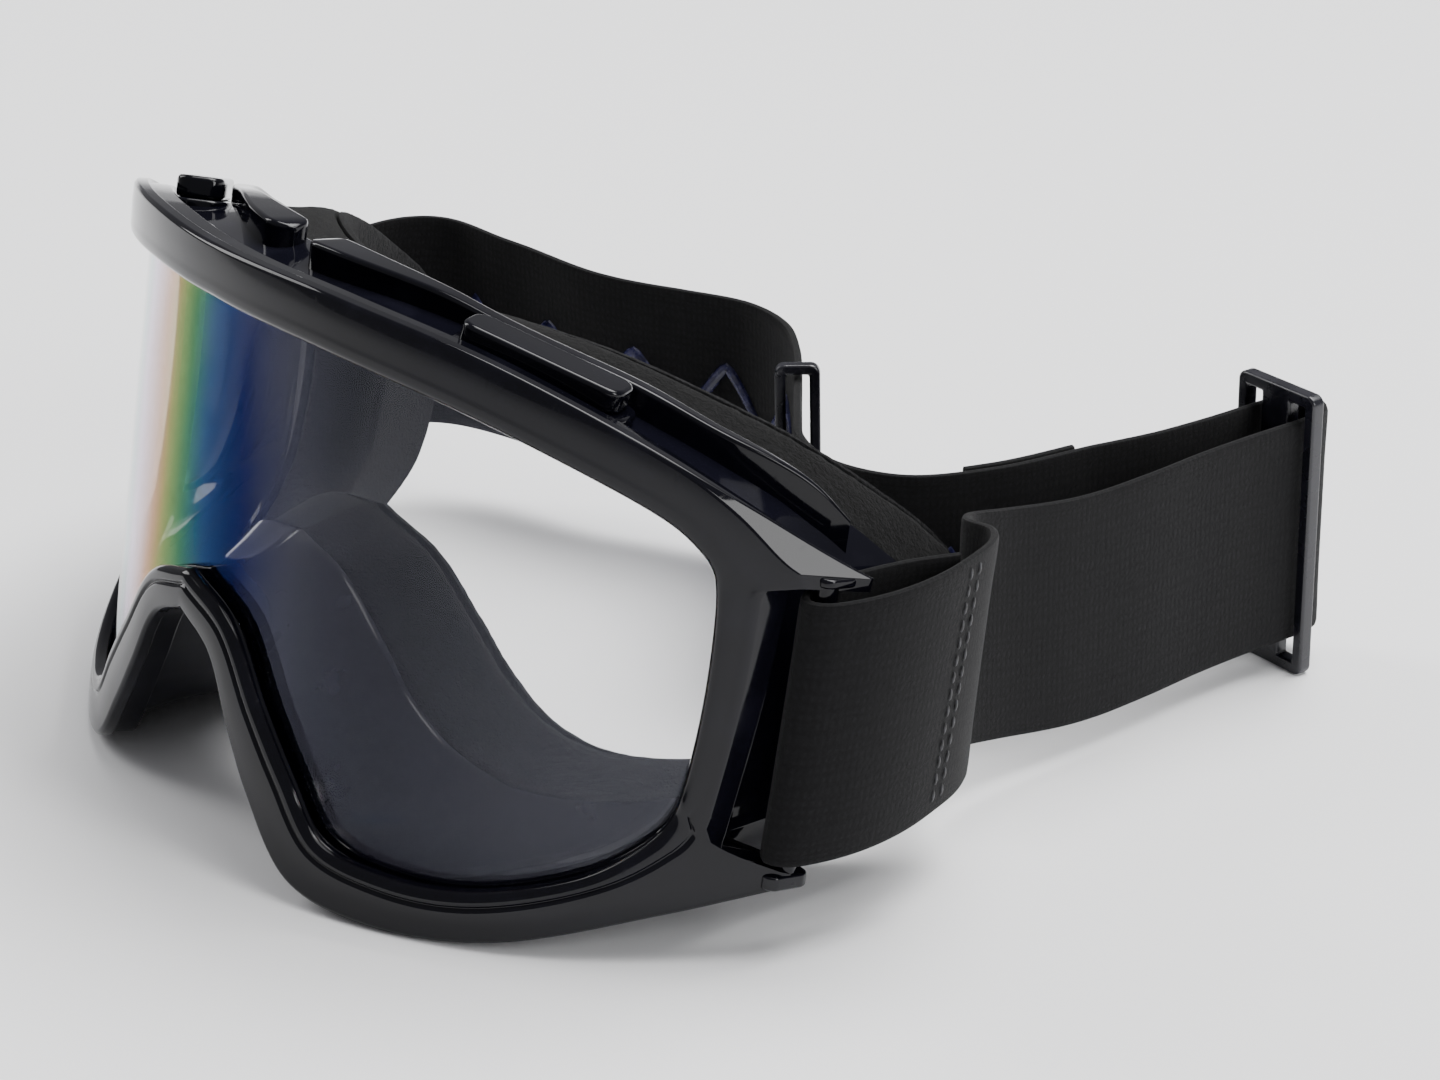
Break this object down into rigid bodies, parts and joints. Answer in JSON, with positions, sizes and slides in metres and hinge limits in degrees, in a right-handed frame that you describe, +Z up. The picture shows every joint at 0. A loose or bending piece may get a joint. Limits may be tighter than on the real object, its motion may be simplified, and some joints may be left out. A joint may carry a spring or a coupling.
{
  "type": "motorcycle goggles",
  "caption": "Wrap-round riding goggles with a clear lens, glossy frame, foam face seal, brow vents and an elastic strap with sliders, folded for storage.",
  "frame": {"origin": "under the middle of the goggles as they lie folded, at the height of the two frame lobes and the rear slider that they rest on", "axes": "+Z up from the table, -Y the way the lens faces, +X the wearer's left"},
  "size_m": [0.1848, 0.1824, 0.0928],
  "materials": {
    "gloss_frame": "injection-moulded black plastic with a polished tool surface",
    "gloss_shell": "injection-moulded flexible black plastic, glossy",
    "gloss_cap": "injection-moulded black plastic, mirror gloss",
    "clear_lens": "clear hard-coated polycarbonate sheet with a faint rainbow sheen",
    "foam": "open-cell polyurethane foam, cut surface",
    "fleece": "brushed polyester fleece laminated to the foam",
    "filter_foam": "coarse open-cell filter foam",
    "webbing": "woven elastic webbing, matte black",
    "thread": "polyester sewing thread",
    "silicone": "printed silicone grip line, soft gloss",
    "slider_plastic": "injection-moulded acetal, smooth"
  },
  "bodies": {
    "goggles": {"front_frame": "gloss_frame", "lens": "clear_lens", "face_shell": "gloss_shell", "face_foam": "foam", "foam_facing": "fleece", "vent_cap_left": "gloss_cap", "vent_cap_right": "gloss_cap", "vent_filter_left": "filter_foam", "vent_filter_right": "filter_foam", "strap_right": "webbing", "seam_thread_right": "thread", "grip_line_right": "silicone", "strap_end": "webbing", "end_thread": "thread"},
    "left_strap": {"strap_left": "webbing", "seam_thread_left": "thread", "grip_line_left": "silicone"},
    "rear_slider": {"slider_rear": "slider_plastic"},
    "side_slider": {"slider_side": "slider_plastic"}
  },
  "joints": [
    {"name": "left_strap_swing", "type": "hinge", "parent": "goggles", "child": "left_strap", "pos_m": [0.08624, -0.03546, 0.03378], "axis": [0, 0.1891, 0.982], "range_deg": [-10, 0]},
    {"name": "rear_slider_slide", "type": "slide", "parent": "left_strap", "child": "rear_slider", "axis": [0, 1, 0], "range_m": [-0.014, 0]},
    {"name": "side_slider_slide", "type": "slide", "parent": "goggles", "child": "side_slider", "axis": [-0.7986, 0.6018, 0], "range_m": [-0.004, 0.004]}
  ]
}
